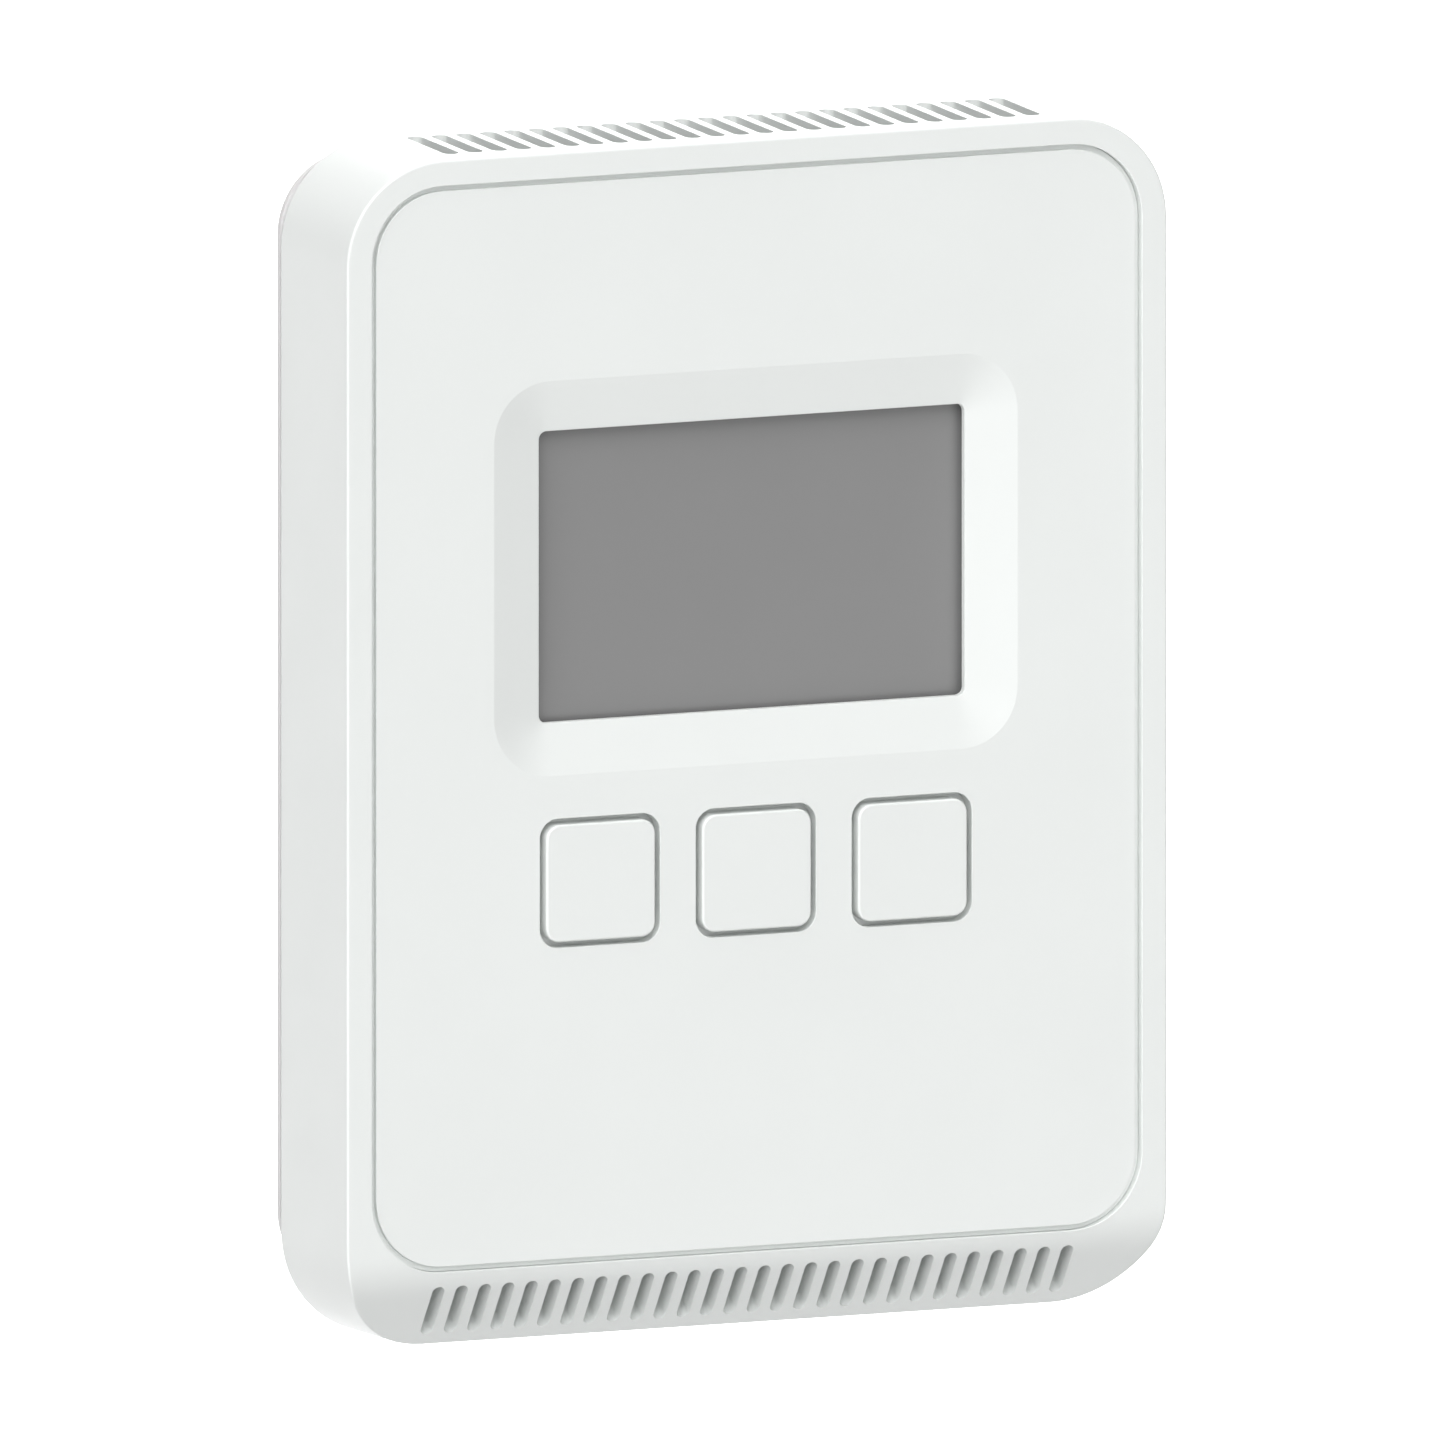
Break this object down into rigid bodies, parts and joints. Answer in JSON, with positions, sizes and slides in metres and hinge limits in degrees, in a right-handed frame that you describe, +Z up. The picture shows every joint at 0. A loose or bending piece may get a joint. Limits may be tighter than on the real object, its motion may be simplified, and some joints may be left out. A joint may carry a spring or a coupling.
{
  "type": "wall thermostat",
  "caption": "Slim rounded-rectangle room thermostat: vented tilting cover with display recess and square push buttons on a wall plate with screw terminals.",
  "frame": {"origin": "centre of the wall plate's rear face, where it lies on the wall", "axes": "+X to the right seen from the room, +Y into the wall, +Z up"},
  "size_m": [0.0888, 0.0168, 0.1194],
  "materials": {
    "white_plastic": "fine satin moulding, pure white with a very slight cool tint",
    "plate_plastic": "satin moulded white, a little greyer than the cover",
    "holder_plastic": "moulded natural white",
    "smoked_lens": "smoked grey, satin, hides the unlit display",
    "display_glass": "grey-green liquid crystal cell",
    "light_guide": "milky light guide",
    "contact_rubber": "striped conductive rubber",
    "circuit_board": "green solder mask over copper tracks",
    "black_plastic": "moulded black with fine grain",
    "terminal_plastic": "green glass-filled nylon",
    "relay_plastic": "blue relay case",
    "capacitor_can": "drawn can",
    "screw_steel": "bright zinc plate",
    "switch_steel": "tinned sheet",
    "clamp_brass": "nickel-flashed brass"
  },
  "bodies": {
    "base": {"back_plate": "plate_plastic", "terminal_board": "circuit_board", "terminal_board_screw_1": "screw_steel", "terminal_board_screw_2": "screw_steel", "terminal_block": "terminal_plastic", "relay_1": "relay_plastic", "relay_2": "relay_plastic", "capacitor": "capacitor_can", "board_socket": "black_plastic"},
    "cover": {"front_cover": "white_plastic", "face_panel": "white_plastic", "display_lens": "smoked_lens", "lcd_glass": "display_glass", "lcd_backlight": "light_guide", "contact_strip_upper": "contact_rubber", "contact_strip_lower": "contact_rubber", "lcd_holder": "holder_plastic", "main_board": "circuit_board", "main_board_screw_1": "screw_steel", "main_board_screw_2": "screw_steel", "main_board_screw_3": "screw_steel", "main_board_screw_4": "screw_steel", "microcontroller": "black_plastic", "humidity_sensor": "black_plastic", "pin_header": "black_plastic", "switch_body_1": "switch_steel", "switch_body_2": "switch_steel", "switch_body_3": "switch_steel"},
    "button_1": {"button_cap_1": "white_plastic", "switch_plunger_1": "black_plastic"},
    "button_2": {"button_cap_2": "white_plastic", "switch_plunger_2": "black_plastic"},
    "button_3": {"button_cap_3": "white_plastic", "switch_plunger_3": "black_plastic"},
    "terminal_screw_body_1": {"terminal_screw_1": "screw_steel"},
    "terminal_clamp_body_1": {"terminal_clamp_1": "clamp_brass"},
    "terminal_screw_body_2": {"terminal_screw_2": "screw_steel"},
    "terminal_clamp_body_2": {"terminal_clamp_2": "clamp_brass"},
    "terminal_screw_body_3": {"terminal_screw_3": "screw_steel"},
    "terminal_clamp_body_3": {"terminal_clamp_3": "clamp_brass"},
    "terminal_screw_body_4": {"terminal_screw_4": "screw_steel"},
    "terminal_clamp_body_4": {"terminal_clamp_4": "clamp_brass"},
    "terminal_screw_body_5": {"terminal_screw_5": "screw_steel"},
    "terminal_clamp_body_5": {"terminal_clamp_5": "clamp_brass"},
    "terminal_screw_body_6": {"terminal_screw_6": "screw_steel"},
    "terminal_clamp_body_6": {"terminal_clamp_6": "clamp_brass"},
    "lock_washer_body": {"lock_washer": "screw_steel"},
    "lock_screw_body": {"lock_screw": "screw_steel"}
  },
  "joints": [
    {"name": "cover_tilt", "type": "hinge", "parent": "base", "child": "cover", "pos_m": [0, -0.00109, 0.05968], "axis": [-1, 0, 0], "range_deg": [0, 35]},
    {"name": "button_press_1", "type": "slide", "parent": "cover", "child": "button_1", "axis": [0, 1, 0], "range_m": [0, 0.0005], "stiffness_N_per_m": 1500, "springref_m": -0.0003},
    {"name": "button_press_2", "type": "slide", "parent": "cover", "child": "button_2", "axis": [0, 1, 0], "range_m": [0, 0.0005], "stiffness_N_per_m": 1500, "springref_m": -0.0003},
    {"name": "button_press_3", "type": "slide", "parent": "cover", "child": "button_3", "axis": [0, 1, 0], "range_m": [0, 0.0005], "stiffness_N_per_m": 1500, "springref_m": -0.0003},
    {"name": "terminal_screw_turn_1", "type": "hinge", "parent": "base", "child": "terminal_screw_body_1", "pos_m": [-0.0127, -0.0104, -0.0443], "axis": [0, 1, 0], "range_deg": [0, 1080]},
    {"name": "terminal_clamp_rise_1", "type": "slide", "parent": "base", "child": "terminal_clamp_body_1", "axis": [0, -1, 0], "range_m": [0, 0.0015]},
    {"name": "terminal_screw_turn_2", "type": "hinge", "parent": "base", "child": "terminal_screw_body_2", "pos_m": [-0.00762, -0.0104, -0.0443], "axis": [0, 1, 0], "range_deg": [0, 1080]},
    {"name": "terminal_clamp_rise_2", "type": "slide", "parent": "base", "child": "terminal_clamp_body_2", "axis": [0, -1, 0], "range_m": [0, 0.0015]},
    {"name": "terminal_screw_turn_3", "type": "hinge", "parent": "base", "child": "terminal_screw_body_3", "pos_m": [-0.00254, -0.0104, -0.0443], "axis": [0, 1, 0], "range_deg": [0, 1080]},
    {"name": "terminal_clamp_rise_3", "type": "slide", "parent": "base", "child": "terminal_clamp_body_3", "axis": [0, -1, 0], "range_m": [0, 0.0015]},
    {"name": "terminal_screw_turn_4", "type": "hinge", "parent": "base", "child": "terminal_screw_body_4", "pos_m": [0.00254, -0.0104, -0.0443], "axis": [0, 1, 0], "range_deg": [0, 1080]},
    {"name": "terminal_clamp_rise_4", "type": "slide", "parent": "base", "child": "terminal_clamp_body_4", "axis": [0, -1, 0], "range_m": [0, 0.0015]},
    {"name": "terminal_screw_turn_5", "type": "hinge", "parent": "base", "child": "terminal_screw_body_5", "pos_m": [0.00762, -0.0104, -0.0443], "axis": [0, 1, 0], "range_deg": [0, 1080]},
    {"name": "terminal_clamp_rise_5", "type": "slide", "parent": "base", "child": "terminal_clamp_body_5", "axis": [0, -1, 0], "range_m": [0, 0.0015]},
    {"name": "terminal_screw_turn_6", "type": "hinge", "parent": "base", "child": "terminal_screw_body_6", "pos_m": [0.0127, -0.0104, -0.0443], "axis": [0, 1, 0], "range_deg": [0, 1080]},
    {"name": "terminal_clamp_rise_6", "type": "slide", "parent": "base", "child": "terminal_clamp_body_6", "axis": [0, -1, 0], "range_m": [0, 0.0015]},
    {"name": "lock_screw_advance", "type": "slide", "parent": "cover", "child": "lock_washer_body", "axis": [0, 0, 1], "range_m": [0, 0.0015]},
    {"name": "lock_screw_turn", "type": "hinge", "parent": "lock_washer_body", "child": "lock_screw_body", "pos_m": [0, -0.0068, -0.0595], "axis": [0, 0, 1], "range_deg": [0, 1080]}
  ],
  "couplings": [
    {"joint": "terminal_screw_turn_1", "follows": "terminal_clamp_rise_1", "rad_per_m": 12560},
    {"joint": "terminal_screw_turn_2", "follows": "terminal_clamp_rise_2", "rad_per_m": 12560},
    {"joint": "terminal_screw_turn_3", "follows": "terminal_clamp_rise_3", "rad_per_m": 12560},
    {"joint": "terminal_screw_turn_4", "follows": "terminal_clamp_rise_4", "rad_per_m": 12560},
    {"joint": "terminal_screw_turn_5", "follows": "terminal_clamp_rise_5", "rad_per_m": 12560},
    {"joint": "terminal_screw_turn_6", "follows": "terminal_clamp_rise_6", "rad_per_m": 12560},
    {"joint": "lock_screw_turn", "follows": "lock_screw_advance", "rad_per_m": 12560}
  ]
}
